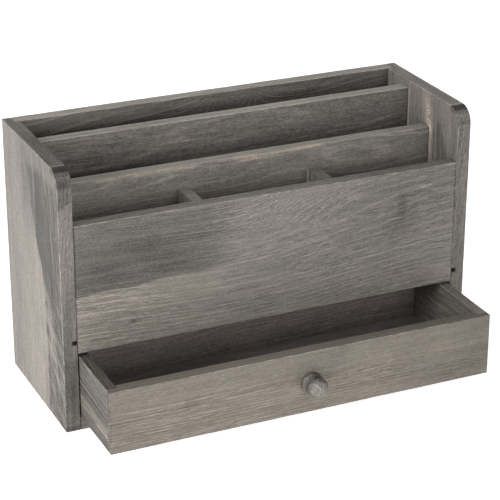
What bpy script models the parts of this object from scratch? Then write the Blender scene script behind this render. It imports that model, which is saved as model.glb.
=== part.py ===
"""Desk organizer: a pine mail sorter with three rows of slots over one drawer.

Metres, +Z up, front towards -Y. The origin is the centre of the case's footprint, on the surface it
stands on. The drawer's pieces hang on an empty on the slide's line, drawn open as stored.
"""

import math

import bmesh
import bpy
from mathutils import Matrix, Vector

# Case
CASE_WIDTH = 0.330
CASE_DEPTH = 0.122
CASE_HEIGHT = 0.203
SIDE_THICKNESS = 0.011
BOARD_THICKNESS = 0.010
CORNER_RADIUS = 0.013
ARRIS = 0.0005
GLUE_GAP = 0.0003

# Boards across the case: heights above the base, and places of their front faces behind the case's front
FRONT_PANEL_BOTTOM = 0.062
FRONT_PANEL_TOP = 0.161
MIDDLE_DIVIDER_FRONT = 0.0435
MIDDLE_DIVIDER_TOP = 0.1755
REAR_DIVIDER_FRONT = 0.078
REAR_DIVIDER_TOP = 0.197
RABBET_DEPTH = 0.0045

# The thin floor under the slots, let into a groove in each side
FLOOR_GROOVE_BOTTOM = 0.069
FLOOR_GROOVE_HEIGHT = 0.0036
FLOOR_GROOVE_DEPTH = 0.004
PLY_THICKNESS = 0.003

# The two short partitions of the front row
PARTITION_THICKNESS = 0.0085
PARTITION_OFFSET = 0.0528
PARTITION_TOP = 0.158

# Drawer, in its own frame: its front face is at y = 0 and its underside at z = 0
DRAWER_SIDE_GAP = 0.0008
DRAWER_HEIGHT = 0.0492
DRAWER_LENGTH = 0.108
DRAWER_OPEN = 0.061
DRAWER_FRONT_THICKNESS = 0.010
DRAWER_WALL = 0.008
DRAWER_LIP = 0.005
DRAWER_GROOVE_BOTTOM = 0.0032
DRAWER_GROOVE_DEPTH = 0.003

# Knob, along its own axis from the drawer's front face
KNOB_OFFSET = 0.003
KNOB_LENGTH = 0.0162
KNOB_FLANGE_LENGTH = 0.0050
KNOB_FLANGE_RADIUS = 0.0084
KNOB_FLANGE_ROUND = 0.0010
KNOB_WAIST_PLACE = 0.0070
KNOB_WAIST_RADIUS = 0.0066
KNOB_HEAD_PLACE = 0.0110
KNOB_HEAD_RADIUS = 0.0079
KNOB_PILOT_DEPTH = 0.0105

# Screw that holds the knob
SCREW_HEAD_RADIUS = 0.0035
SCREW_HEAD_LENGTH = 0.0020
SCREW_CROWN = 0.8
SCREW_SHANK_RADIUS = 0.0016
SCREW_TIP_LENGTH = 0.0030
SCREW_RECESS_WIDTH = 0.0009
SCREW_RECESS_SPAN = 0.0034
SCREW_RECESS_DEPTH = 0.0011
SCREW_HOLE_RADIUS = 0.0020

# Hidden dowels at the ends of the boards
DOWEL_RADIUS = 0.003
DOWEL_LENGTH = 0.020
DOWEL_CHAMFER = 0.0006
DOWEL_IN_SIDE = 0.0070
DOWEL_END_INSET = 0.020

# Brads through the back and through the drawer's corners
BRAD_SHANK_RADIUS = 0.0007
BRAD_HEAD_RADIUS = 0.0011
BRAD_HEAD_LENGTH = 0.0008
BRAD_LENGTH = 0.018
BRAD_SINK = 0.0008
BRAD_TIP_LENGTH = 0.001
BACK_BRAD_HEIGHTS = (0.030, 0.100, 0.172)
BACK_BRAD_LOW_PLACES = (-0.090, 0.0, 0.090)
DRAWER_BRAD_SHARES = (0.35, 0.75)

# How far a cutter reaches past the surface it opens
CUTTER_PAST = 0.002

ROUND_SEGMENTS = 28
SMALL_SEGMENTS = 12
BRAD_SEGMENTS = 8

INNER_X = CASE_WIDTH / 2 - SIDE_THICKNESS
FRONT_Y = -CASE_DEPTH / 2
BACK_PANEL_FRONT = CASE_DEPTH / 2 - BOARD_THICKNESS
FLOOR_TOP = FLOOR_GROOVE_BOTTOM + GLUE_GAP + PLY_THICKNESS
DRAWER_HALF_WIDTH = INNER_X - DRAWER_SIDE_GAP
DRAWER_INNER_X = DRAWER_HALF_WIDTH - DRAWER_WALL


def clear_scene():
    for obj in list(bpy.data.objects):
        bpy.data.objects.remove(obj, do_unlink=True)


def make_material(name, colour, roughness, metallic=0.0):
    material = bpy.data.materials.new(name)
    material.use_nodes = True
    material.diffuse_color = (*colour, 1.0)
    shader = material.node_tree.nodes["Principled BSDF"]
    shader.inputs["Base Color"].default_value = (*colour, 1.0)
    shader.inputs["Roughness"].default_value = roughness
    shader.inputs["Metallic"].default_value = metallic
    return material


def place(name, bm, location, parent, material=None):
    """Turns a bmesh into an object whose origin is at location, in its parent's frame."""
    bmesh.ops.recalc_face_normals(bm, faces=bm.faces)
    mesh = bpy.data.meshes.new(name)
    bm.to_mesh(mesh)
    bm.free()
    obj = bpy.data.objects.new(name, mesh)
    bpy.context.scene.collection.objects.link(obj)
    obj.location = location
    obj.parent = parent
    if material:
        mesh.materials.append(material)
        mesh.shade_smooth()
        mesh.set_sharp_from_angle(angle=math.radians(35))
    return obj


def as_cutter(obj):
    obj.hide_render = True
    obj.display_type = "WIRE"
    return obj


def cut(obj, cutter):
    modifier = obj.modifiers.new(cutter.name, "BOOLEAN")
    modifier.operation = "DIFFERENCE"
    modifier.object = cutter


def block(low, high):
    """A box as a bmesh round its own centre, and that centre."""
    low, high = Vector(low), Vector(high)
    bm = bmesh.new()
    bmesh.ops.create_cube(bm, size=1.0, matrix=Matrix.Diagonal((high - low).to_4d()))
    return bm, (low + high) / 2


def ease_edges(bm, width=ARRIS):
    sharp = [edge for edge in bm.edges if edge.calc_face_angle(0) > math.radians(40)]
    bmesh.ops.bevel(bm, geom=sharp, offset=width, segments=2, profile=0.5, affect="EDGES")


def board(name, low, high, material, parent=None, arris=ARRIS):
    bm, centre = block(low, high)
    ease_edges(bm, arris)
    return place(name, bm, centre, parent, material)


def box_cutter(name, low, high, parent=None):
    bm, centre = block(low, high)
    return as_cutter(place(name, bm, centre, parent))


def turned(profile, segments):
    """A solid turned about +Z from (distance, radius) points that start and end on the axis."""
    bm = bmesh.new()
    rings = []
    for distance, radius in profile[1:-1]:
        angles = [2 * math.pi * step / segments for step in range(segments)]
        rings.append([bm.verts.new((radius * math.cos(a), radius * math.sin(a), distance)) for a in angles])
    for lower, upper in zip(rings, rings[1:]):
        for step in range(segments):
            after = (step + 1) % segments
            bm.faces.new((lower[step], lower[after], upper[after], upper[step]))
    for ring, (distance, _) in ((rings[0], profile[0]), (rings[-1], profile[-1])):
        pole = bm.verts.new((0, 0, distance))
        for step in range(segments):
            bm.faces.new((ring[step], ring[(step + 1) % segments], pole))
    return bm


def turned_along(name, profile, start, direction, segments, material=None, parent=None):
    """A turned piece that starts at start and runs along direction."""
    obj = place(name, turned(profile, segments), start, parent, material)
    obj.rotation_mode = "QUATERNION"
    obj.rotation_quaternion = Vector((0, 0, 1)).rotation_difference(Vector(direction))
    return obj


def rod_profile(radius, length, start=0.0):
    return [(start, 0), (start, radius), (start + length, radius), (start + length, 0)]


def make_side(name, side, material):
    """A side panel: rounded top front corner, rabbet for the back and groove for the floor."""
    centre_x = side * (CASE_WIDTH - SIDE_THICKNESS) / 2
    half_depth = CASE_DEPTH / 2
    arc_y = -half_depth + CORNER_RADIUS
    arc_z = CASE_HEIGHT - CORNER_RADIUS
    outline = [(half_depth, 0), (half_depth, CASE_HEIGHT)]
    for step in range(9):
        angle = math.pi / 2 * (1 + step / 8)
        outline.append((arc_y + CORNER_RADIUS * math.cos(angle), arc_z + CORNER_RADIUS * math.sin(angle)))
    outline.append((-half_depth, 0))
    bm = bmesh.new()
    near = [bm.verts.new((-SIDE_THICKNESS / 2, y, z)) for y, z in outline]
    face = bm.faces.new(near)
    far = bmesh.ops.extrude_face_region(bm, geom=[face])["geom"]
    moved = [item for item in far if isinstance(item, bmesh.types.BMVert)]
    bmesh.ops.translate(bm, verts=moved, vec=(SIDE_THICKNESS, 0, 0))
    ease_edges(bm)
    panel = place(name, bm, (centre_x, 0, 0), None, material)
    rabbet_x = sorted((side * (INNER_X + RABBET_DEPTH), side * (INNER_X - CUTTER_PAST)))
    groove_x = sorted((side * (INNER_X + FLOOR_GROOVE_DEPTH), side * (INNER_X - CUTTER_PAST)))
    rabbet = box_cutter(
        f"{name}_rabbet",
        (rabbet_x[0], BACK_PANEL_FRONT - GLUE_GAP, -CUTTER_PAST),
        (rabbet_x[1], half_depth + CUTTER_PAST, CASE_HEIGHT + CUTTER_PAST),
    )
    groove = box_cutter(
        f"{name}_groove",
        (groove_x[0], -half_depth - CUTTER_PAST, FLOOR_GROOVE_BOTTOM),
        (groove_x[1], half_depth + CUTTER_PAST, FLOOR_GROOVE_BOTTOM + FLOOR_GROOVE_HEIGHT),
    )
    cut(panel, rabbet)
    cut(panel, groove)
    return panel


def make_cross_board(name, front, thickness, bottom, top, material):
    """A board between the sides, given by its front face's place behind the case's front."""
    half = INNER_X - GLUE_GAP
    front_y = FRONT_Y + front
    return board(name, (-half, front_y, bottom), (half, front_y + thickness, top), material)


def join_with_dowels(panel, cross_board, side, places, label, material):
    """Dowels between a side panel and a board's end, at (y, z) places, each in its own blind hole."""
    for number, (y, z) in enumerate(places, start=1):
        name = f"{label}_dowel_{number}"
        start_x = side * (INNER_X + DOWEL_IN_SIDE)
        direction = (-side, 0, 0)
        profile = [
            (0, 0),
            (0, DOWEL_RADIUS - DOWEL_CHAMFER),
            (DOWEL_CHAMFER, DOWEL_RADIUS),
            (DOWEL_LENGTH - DOWEL_CHAMFER, DOWEL_RADIUS),
            (DOWEL_LENGTH, DOWEL_RADIUS - DOWEL_CHAMFER),
            (DOWEL_LENGTH, 0),
        ]
        turned_along(name, profile, (start_x, y, z), direction, SMALL_SEGMENTS, material)
        bore = rod_profile(DOWEL_RADIUS + GLUE_GAP, DOWEL_LENGTH + 4 * GLUE_GAP, -2 * GLUE_GAP)
        cutter = turned_along(f"{name}_hole", bore, (start_x, y, z), direction, SMALL_SEGMENTS)
        as_cutter(cutter)
        cut(panel, cutter)
        cut(cross_board, cutter)


def drive_brad(name, start, direction, pieces, material, parent=None):
    """A brad set below the surface at start, in a hole through the listed pieces."""
    neck = BRAD_SINK + BRAD_HEAD_LENGTH
    end = BRAD_SINK + BRAD_LENGTH
    profile = [
        (BRAD_SINK, 0),
        (BRAD_SINK, BRAD_HEAD_RADIUS),
        (neck, BRAD_HEAD_RADIUS),
        (neck, BRAD_SHANK_RADIUS),
        (end - BRAD_TIP_LENGTH, BRAD_SHANK_RADIUS),
        (end, 0),
    ]
    turned_along(name, profile, start, direction, BRAD_SEGMENTS, material, parent)
    hole = [
        (-CUTTER_PAST, 0),
        (-CUTTER_PAST, BRAD_HEAD_RADIUS + GLUE_GAP),
        (neck + GLUE_GAP, BRAD_HEAD_RADIUS + GLUE_GAP),
        (neck + GLUE_GAP, BRAD_SHANK_RADIUS + GLUE_GAP),
        (end + GLUE_GAP, BRAD_SHANK_RADIUS + GLUE_GAP),
        (end + GLUE_GAP, 0),
    ]
    cutter = turned_along(f"{name}_hole", hole, start, direction, BRAD_SEGMENTS, None, parent)
    as_cutter(cutter)
    for piece in pieces:
        cut(piece, cutter)


def make_case(pine, ply, beech, steel):
    sides = {"left": -1, "right": 1}
    panels = {word: make_side(f"{word}_side_panel", sign, pine) for word, sign in sides.items()}

    back_half = INNER_X + RABBET_DEPTH - GLUE_GAP
    back = board(
        "back_panel",
        (-back_half, BACK_PANEL_FRONT, 0),
        (back_half, CASE_DEPTH / 2, CASE_HEIGHT),
        pine,
    )
    front = make_cross_board("front_panel", 0, BOARD_THICKNESS, FRONT_PANEL_BOTTOM, FRONT_PANEL_TOP, pine)
    divider_bottom = FLOOR_TOP + GLUE_GAP
    middle = make_cross_board(
        "middle_divider", MIDDLE_DIVIDER_FRONT, BOARD_THICKNESS, divider_bottom, MIDDLE_DIVIDER_TOP, pine
    )
    rear = make_cross_board(
        "rear_divider", REAR_DIVIDER_FRONT, BOARD_THICKNESS, divider_bottom, REAR_DIVIDER_TOP, pine
    )
    bottom_depth = BACK_PANEL_FRONT - GLUE_GAP - FRONT_Y
    bottom = make_cross_board("bottom_board", 0, bottom_depth, 0, BOARD_THICKNESS, pine)

    floor_half = INNER_X + FLOOR_GROOVE_DEPTH - GLUE_GAP
    board(
        "compartment_floor",
        (-floor_half, FRONT_Y + BOARD_THICKNESS + GLUE_GAP, FLOOR_TOP - PLY_THICKNESS),
        (floor_half, BACK_PANEL_FRONT - GLUE_GAP, FLOOR_TOP),
        ply,
        arris=0.0002,
    )
    for word, sign in sides.items():
        centre = sign * PARTITION_OFFSET
        board(
            f"{word}_partition",
            (centre - PARTITION_THICKNESS / 2, FRONT_Y + BOARD_THICKNESS + GLUE_GAP, divider_bottom),
            (centre + PARTITION_THICKNESS / 2, FRONT_Y + MIDDLE_DIVIDER_FRONT - GLUE_GAP, PARTITION_TOP),
            pine,
        )

    middle_of_board = BOARD_THICKNESS / 2
    uprights = [
        ("front_panel", front, 0, FRONT_PANEL_BOTTOM, FRONT_PANEL_TOP),
        ("middle_divider", middle, MIDDLE_DIVIDER_FRONT, divider_bottom, MIDDLE_DIVIDER_TOP),
        ("rear_divider", rear, REAR_DIVIDER_FRONT, divider_bottom, REAR_DIVIDER_TOP),
    ]
    for word, sign in sides.items():
        for label, piece, front_place, low, high in uprights:
            y = FRONT_Y + front_place + middle_of_board
            places = [(y, low + DOWEL_END_INSET), (y, high - DOWEL_END_INSET)]
            join_with_dowels(panels[word], piece, sign, places, f"{label}_{word}", beech)
        inset = CASE_DEPTH / 2 - BOARD_THICKNESS - DOWEL_END_INSET
        places = [(-inset, middle_of_board), (inset, middle_of_board)]
        join_with_dowels(panels[word], bottom, sign, places, f"bottom_board_{word}", beech)

        for number, height in enumerate(BACK_BRAD_HEIGHTS, start=1):
            start = (sign * (INNER_X + RABBET_DEPTH / 2), CASE_DEPTH / 2, height)
            drive_brad(f"back_brad_{word}_{number}", start, (0, -1, 0), [back, panels[word]], steel)
    for number, x in enumerate(BACK_BRAD_LOW_PLACES, start=1):
        start = (x, CASE_DEPTH / 2, middle_of_board)
        drive_brad(f"back_brad_low_{number}", start, (0, -1, 0), [back, bottom], steel)


def make_drawer_box(slide, pine, ply, steel):
    half = DRAWER_HALF_WIDTH
    front = board("drawer_front", (-half, 0, 0), (half, DRAWER_FRONT_THICKNESS, DRAWER_HEIGHT), pine, slide)
    back_front = DRAWER_LENGTH - DRAWER_WALL
    back = board(
        "drawer_back",
        (-DRAWER_INNER_X + GLUE_GAP, back_front, 0),
        (DRAWER_INNER_X - GLUE_GAP, DRAWER_LENGTH, DRAWER_HEIGHT),
        pine,
        slide,
    )
    sides = {}
    for word, sign in (("left", -1), ("right", 1)):
        x_span = sorted((sign * DRAWER_INNER_X, sign * half))
        sides[word] = board(
            f"drawer_{word}_side",
            (x_span[0], DRAWER_LIP + GLUE_GAP, 0),
            (x_span[1], DRAWER_LENGTH, DRAWER_HEIGHT),
            pine,
            slide,
        )
        rabbet_x = sorted((sign * (DRAWER_INNER_X - GLUE_GAP), sign * (half + CUTTER_PAST)))
        rabbet = box_cutter(
            f"drawer_front_{word}_rabbet",
            (rabbet_x[0], DRAWER_LIP, -CUTTER_PAST),
            (rabbet_x[1], DRAWER_FRONT_THICKNESS + CUTTER_PAST, DRAWER_HEIGHT + CUTTER_PAST),
            slide,
        )
        cut(front, rabbet)

    groove_top = DRAWER_GROOVE_BOTTOM + PLY_THICKNESS + 2 * GLUE_GAP
    groove_half = DRAWER_INNER_X + DRAWER_GROOVE_DEPTH
    groove = box_cutter(
        "drawer_groove",
        (-groove_half, DRAWER_FRONT_THICKNESS - DRAWER_GROOVE_DEPTH, DRAWER_GROOVE_BOTTOM),
        (groove_half, back_front + DRAWER_GROOVE_DEPTH, groove_top),
        slide,
    )
    for piece in (front, back, *sides.values()):
        cut(piece, groove)
    reach = DRAWER_GROOVE_DEPTH - GLUE_GAP
    board(
        "drawer_bottom",
        (-DRAWER_INNER_X - reach, DRAWER_FRONT_THICKNESS - reach, DRAWER_GROOVE_BOTTOM + GLUE_GAP),
        (DRAWER_INNER_X + reach, back_front + reach, groove_top - GLUE_GAP),
        ply,
        slide,
        arris=0.0002,
    )

    front_place = (DRAWER_LIP + GLUE_GAP + DRAWER_FRONT_THICKNESS) / 2
    rear_place = DRAWER_LENGTH - DRAWER_WALL / 2
    for word, sign in (("left", -1), ("right", 1)):
        corners = (("front", front_place, front), ("rear", rear_place, back))
        for corner, y, piece in corners:
            for number, share in enumerate(DRAWER_BRAD_SHARES, start=1):
                start = (sign * half, y, DRAWER_HEIGHT * share)
                name = f"drawer_{corner}_{word}_brad_{number}"
                drive_brad(name, start, (-sign, 0, 0), [sides[word], piece], steel, slide)
    return front


def knob_profile():
    """The knob from its flat foot: rounded flange, waist, and a domed head."""
    edge = KNOB_FLANGE_ROUND
    points = [(0, 0)]
    for centre, first_angle in ((edge, -90), (KNOB_FLANGE_LENGTH - edge, 0)):
        for step in range(4):
            angle = math.radians(first_angle + 30 * step)
            radius = KNOB_FLANGE_RADIUS - edge + edge * math.cos(angle)
            points.append((centre + edge * math.sin(angle), radius))
    stations = (
        (KNOB_FLANGE_LENGTH, KNOB_FLANGE_RADIUS - edge),
        (KNOB_WAIST_PLACE, KNOB_WAIST_RADIUS),
        (KNOB_HEAD_PLACE, KNOB_HEAD_RADIUS),
    )
    for (place_a, radius_a), (place_b, radius_b) in zip(stations, stations[1:]):
        for step in range(1, 6):
            share = step / 5
            ease = (1 - math.cos(math.pi * share)) / 2
            points.append((place_a + (place_b - place_a) * share, radius_a + (radius_b - radius_a) * ease))
    dome = KNOB_LENGTH - KNOB_HEAD_PLACE
    for step in range(1, 8):
        angle = math.pi / 2 * step / 8
        points.append((KNOB_HEAD_PLACE + dome * math.sin(angle), KNOB_HEAD_RADIUS * math.cos(angle) ** 0.8))
    points.append((KNOB_LENGTH, 0))
    return points


def screw_profile(shank_end):
    """A pan-headed wood screw from the top of its head to its tip."""
    points = [(0, 0)]
    for step in range(5):
        angle = math.radians(15 + 75 * step / 4)
        distance = SCREW_HEAD_LENGTH * SCREW_CROWN * (1 - math.cos(angle))
        points.append((distance, SCREW_HEAD_RADIUS * math.sin(angle)))
    points += [
        (SCREW_HEAD_LENGTH, SCREW_HEAD_RADIUS),
        (SCREW_HEAD_LENGTH, SCREW_SHANK_RADIUS),
        (shank_end - SCREW_TIP_LENGTH, SCREW_SHANK_RADIUS),
        (shank_end, 0),
    ]
    return points


def make_knob(slide, front, pine, zinc):
    height = DRAWER_HEIGHT / 2
    forward = (0, -1, 0)
    knob = turned_along(
        "knob", knob_profile(), (KNOB_OFFSET, -GLUE_GAP, height), forward, ROUND_SEGMENTS, pine, slide
    )
    foot = (KNOB_OFFSET, 0, height)
    pilot = rod_profile(SCREW_HOLE_RADIUS, KNOB_PILOT_DEPTH + CUTTER_PAST, -CUTTER_PAST)
    pilot_cutter = as_cutter(turned_along("knob_pilot", pilot, foot, forward, SMALL_SEGMENTS, None, slide))
    cut(knob, pilot_cutter)
    through = rod_profile(SCREW_HOLE_RADIUS, DRAWER_FRONT_THICKNESS + 2 * CUTTER_PAST, -CUTTER_PAST)
    through_start = (KNOB_OFFSET, DRAWER_FRONT_THICKNESS, height)
    through_cutter = turned_along("knob_hole", through, through_start, forward, SMALL_SEGMENTS, None, slide)
    cut(front, as_cutter(through_cutter))

    head_start = (KNOB_OFFSET, DRAWER_FRONT_THICKNESS + GLUE_GAP + SCREW_HEAD_LENGTH, height)
    shank_end = SCREW_HEAD_LENGTH + DRAWER_FRONT_THICKNESS + KNOB_PILOT_DEPTH - 0.001
    screw = turned_along(
        "knob_screw", screw_profile(shank_end), head_start, forward, SMALL_SEGMENTS, zinc, slide
    )
    wide, narrow = SCREW_RECESS_SPAN / 2, SCREW_RECESS_WIDTH / 2
    for word, half_x, half_z in (("wide", wide, narrow), ("tall", narrow, wide)):
        top = head_start[1]
        slot = box_cutter(
            f"knob_screw_recess_{word}",
            (KNOB_OFFSET - half_x, top - SCREW_RECESS_DEPTH, height - half_z),
            (KNOB_OFFSET + half_x, top + CUTTER_PAST, height + half_z),
            slide,
        )
        cut(screw, slot)


def main():
    clear_scene()
    pine = make_material("grey_stained_pine", (0.24, 0.215, 0.19), 0.72)
    ply = make_material("grey_stained_ply", (0.16, 0.145, 0.13), 0.8)
    beech = make_material("dowel_beech", (0.55, 0.42, 0.28), 0.7)
    steel = make_material("brad_steel", (0.45, 0.45, 0.46), 0.4, 1.0)
    zinc = make_material("zinc_plate", (0.6, 0.6, 0.58), 0.35, 1.0)
    make_case(pine, ply, beech, steel)

    slide = bpy.data.objects.new("drawer_slide_axis", None)
    bpy.context.scene.collection.objects.link(slide)
    slide.location = (0, FRONT_Y - DRAWER_OPEN, BOARD_THICKNESS + GLUE_GAP)
    front = make_drawer_box(slide, pine, ply, steel)
    make_knob(slide, front, pine, zinc)


main()
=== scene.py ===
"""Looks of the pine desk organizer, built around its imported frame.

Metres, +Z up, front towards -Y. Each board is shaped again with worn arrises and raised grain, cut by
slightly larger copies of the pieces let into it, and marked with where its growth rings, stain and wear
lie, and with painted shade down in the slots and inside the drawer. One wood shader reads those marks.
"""

import math
from dataclasses import dataclass

import bpy
import numpy as np
from mathutils import Matrix, Vector


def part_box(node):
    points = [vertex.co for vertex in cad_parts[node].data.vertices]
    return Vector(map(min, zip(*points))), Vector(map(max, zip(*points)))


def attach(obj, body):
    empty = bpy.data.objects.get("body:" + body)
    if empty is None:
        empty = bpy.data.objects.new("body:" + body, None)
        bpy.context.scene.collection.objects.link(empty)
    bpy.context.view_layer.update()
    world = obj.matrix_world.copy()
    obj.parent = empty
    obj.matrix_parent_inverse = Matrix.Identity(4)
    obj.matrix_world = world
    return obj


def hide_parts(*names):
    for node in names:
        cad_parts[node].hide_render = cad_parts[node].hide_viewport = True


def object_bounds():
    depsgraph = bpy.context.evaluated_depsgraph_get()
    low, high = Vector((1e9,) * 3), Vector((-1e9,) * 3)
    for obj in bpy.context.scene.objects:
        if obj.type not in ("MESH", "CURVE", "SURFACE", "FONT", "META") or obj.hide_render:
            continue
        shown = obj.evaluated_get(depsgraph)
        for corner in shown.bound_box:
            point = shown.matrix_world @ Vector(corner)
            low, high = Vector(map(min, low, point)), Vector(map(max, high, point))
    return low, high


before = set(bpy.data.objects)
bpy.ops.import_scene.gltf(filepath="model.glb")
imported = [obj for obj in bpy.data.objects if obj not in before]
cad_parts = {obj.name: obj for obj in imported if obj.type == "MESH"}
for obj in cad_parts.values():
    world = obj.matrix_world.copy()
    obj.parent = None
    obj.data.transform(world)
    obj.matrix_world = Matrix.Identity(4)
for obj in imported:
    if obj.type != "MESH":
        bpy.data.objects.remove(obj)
CAD_BOUNDS = [list(corner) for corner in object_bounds()]

X, Y, Z = 0, 1, 2
NO_LIMIT = np.inf

# ---- fields

NOISE_VALUES = 4096
HASH_PRIMES = (73856093, 19349663, 83492791)
OCTAVE_SHIFT = 17.3


def value_noise(points, seed):
    """Smooth noise from 0 to 1 at each row of an N x 3 array, one cell to a unit."""
    table = np.random.default_rng(seed).random(NOISE_VALUES)
    cell = np.floor(points).astype(np.int64)
    share = points - cell
    share = share * share * (3 - 2 * share)
    total = np.zeros(len(points))
    for corner in np.ndindex(2, 2, 2):
        weight = np.prod(np.where(corner, share, 1 - share), axis=1)
        spot = np.bitwise_xor.reduce((cell + corner) * HASH_PRIMES, axis=1)
        total += weight * table[spot % NOISE_VALUES]
    return total


def cloud(points, size, seed, octaves=2):
    """Smooth variation from -1 to 1 whose patches measure about size along X, Y and Z."""
    total = np.zeros(len(points))
    for octave in range(octaves):
        scaled = points / size * 2**octave + OCTAVE_SHIFT * octave
        total += (2 * value_noise(scaled, seed + octave) - 1) * 0.5**octave
    return total / (2 - 0.5 ** (octaves - 1))


def by_axis(grain, along, across):
    """A vector that is along on the grain's axis and across on the others."""
    return tuple(along if axis == grain else across for axis in range(3))


def box_of(node):
    """The low and high corners of a node's box."""
    low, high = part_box(node)
    return np.array(low), np.array(high)


def rise(low, high, values):
    """0 at low, 1 at high, which may be the lower, and smooth between."""
    share = np.clip((values - low) / (high - low), 0, 1)
    return share * share * (3 - 2 * share)


def band(low, high, values, soft):
    """1 between low and high, with soft ends."""
    return rise(low - soft, low + soft, values) * rise(high + soft, high - soft, values)


def line_at(values, centre, width):
    """1 at centre, fading over width."""
    return np.exp(-(((values - centre) / width) ** 2))


def patch(points, centre, spread):
    """1 at centre, fading over spread; a spread of NO_LIMIT leaves that axis out."""
    return np.exp(-(((points - centre) / spread) ** 2).sum(axis=1))


# ---- timber

# A board's grid: steps along and across the grain, and closer lines within RIM of each edge
STEP_ALONG = 0.003
STEP_ACROSS = 0.0012
RIM = 0.0016
RIM_SHARES = (0.0, 0.1, 0.24, 0.42, 0.66)

# Its arrises, whose radius varies between two values, and the chips in them
ARRIS_SMALL = 0.0003
ARRIS_LARGE = 0.0008
CHIP_DEPTH = 0.0004
SOFTNESS_SIZE = 0.017
CHIP_SIZE = 0.0075
BUTTED_ARRIS = 0.3

# Its faces: ridges along the growth rings, and slow ripples
RIDGE_DEPTH = 0.00007
RIPPLE_DEPTH = 0.00012
RIPPLE_LENGTH = 0.05
RIPPLE_WIDTH = 0.014

CASE_CORNER = 0.013
TIGHT = 0.0002

# How grain strays: waves (height, rate, share of the seed), patches (height, length, width, seed change)
GRAIN_WAVES = ((0.0012, 21, 1), (0.0007, 57, 2))
GRAIN_PATCHES = ((0.002, 0.09, 0.024, 0), (0.0005, 0.02, 0.007, 5))
KNOT_STRETCH = 2.2

# How far the years run ahead and behind: (years, over how many, share of the seed)
YEAR_SWINGS = ((0.9, 3.3, 1), (0.4, 1.3, 2))
MOST_VEIN = 1.5
MOST_TAN = 1.6


@dataclass(frozen=True)
class Finish:
    """How clear strokes, speckle and bars across bare wood are; tint multiplies the colour."""

    stroke: float = 0.05
    grit: float = 0.42
    bars: float = 0.25
    tint: tuple = (1.0, 1.0, 1.0)


@dataclass
class Timber:
    """One board: its grain's axis, its growth rings, and how its stain and wear vary.

    pith is the log's centre line, measured across the grain from the board's centre, lean how far that
    line moves for each metre along the grain, and ring the width of a year's growth. tone is how pale
    the stain is and vein how clearly the rings show; marks changes both, in places with painted shade,
    and says where wood is bare. A knot is its place along the grain and across it, its size and how far
    it pushes the rings. wander scales how much the grain strays, bend moves it across the board, and
    fine scales the grid's steps. corner is the radius of a side's top front corner. A butted board has
    sharp ends that close tight.
    """

    node: str
    body: str
    slot: str
    grain: int
    pith: tuple
    lean: tuple
    ring: float
    seed: int
    tone: float = 0.0
    vein: float = 0.7
    finish: Finish = Finish()
    wander: float = 1.0
    knots: tuple = ()
    marks: object = None
    bend: object = None
    corner: float = 0.0
    butted: bool = False
    fine: float = 1.0

    def flow(self, points):
        """How far each point is from the pith, as the straying grain has it."""
        low, high = box_of(self.node)
        local = points - (low + high) / 2
        along = local[:, self.grain]
        across = [axis for axis in range(3) if axis != self.grain]
        sway = sum(height * np.sin(along * rate + share * self.seed) for height, rate, share in GRAIN_WAVES)
        width_axis = max(across, key=lambda axis: high[axis] - low[axis])
        offsets = [
            local[:, axis] - pith - lean * along + sway * self.wander
            for axis, pith, lean in zip(across, self.pith, self.lean)
        ]
        if self.bend:
            offsets[across.index(width_axis)] -= self.bend(points)
        radius = np.hypot(*offsets)
        for height, length, width, change in GRAIN_PATCHES:
            size = by_axis(self.grain, length, width)
            radius += height * self.wander * cloud(points, size, self.seed + change)
        for place_along, place_across, size, push in self.knots:
            square = ((along - place_along) / (KNOT_STRETCH * size)) ** 2
            square += ((local[:, width_axis] - place_across) / size) ** 2
            radius += push * np.exp(-square)
        return radius

    def rings(self, points):
        """The year of growth that each point lies in."""
        number = self.flow(points) / self.ring
        swings = (years * np.sin(number / span + share * self.seed) for years, span, share in YEAR_SWINGS)
        return number + sum(swings)

    def marks_at(self, points):
        """Tone, vein strength and bare tan wood at each point."""
        tone = np.full(len(points), self.tone)
        vein = np.full(len(points), self.vein)
        tan = np.zeros(len(points))
        if self.marks:
            self.marks(points, tone, vein, tan)
        return tone, np.clip(vein, 0, MOST_VEIN), np.clip(tan, 0, MOST_TAN)

    def arris_distance(self, points):
        """How far each point is from the nearest arris, in millimetres."""
        low, high = box_of(self.node)
        gaps = np.minimum(points - low, high - points)
        if self.corner:
            ahead = low[Y] + self.corner - points[:, Y]
            above = points[:, Z] - high[Z] + self.corner
            on_corner = (ahead > 0) & (above > 0)
            round_gap = self.corner - np.hypot(ahead, above)
            gaps[on_corner, Y] = round_gap[on_corner]
            gaps[on_corner, Z] = NO_LIMIT
        if self.butted:
            gaps[:, self.grain] = NO_LIMIT
        return np.sort(gaps, axis=1)[:, 1] * 1000


def stations(half, step):
    """Grid lines from -half to half: close to each other near the ends, then even."""
    inner = half - RIM
    rims = np.array(RIM_SHARES) * RIM
    count = max(2, round(2 * inner / step))
    return np.concatenate([-half + rims, np.linspace(-inner, inner, count + 1), (half - rims)[::-1]])


def box_shell(lines):
    """The surface of a grid of lines along X, Y and Z: its points, and its outward quads."""
    counts = [len(line) for line in lines]
    outer = np.zeros(counts, bool)
    for axis in range(3):
        edge = np.moveaxis(outer, axis, 0)
        edge[0] = True
        edge[-1] = True
    number = np.full(counts, -1)
    number[outer] = np.arange(outer.sum())
    points = np.stack(np.meshgrid(*lines, indexing="ij"), axis=-1)[outer]
    quads = []
    for axis in range(3):
        for end in (0, -1):
            sheet = np.take(number, end, axis=axis)
            loop = [sheet[:-1, :-1], sheet[1:, :-1], sheet[1:, 1:], sheet[:-1, 1:]]
            if (axis == Y) != (end == 0):
                loop.reverse()
            quads.append(np.stack([part.ravel() for part in loop], axis=1))
    return points, np.concatenate(quads).tolist()


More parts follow.
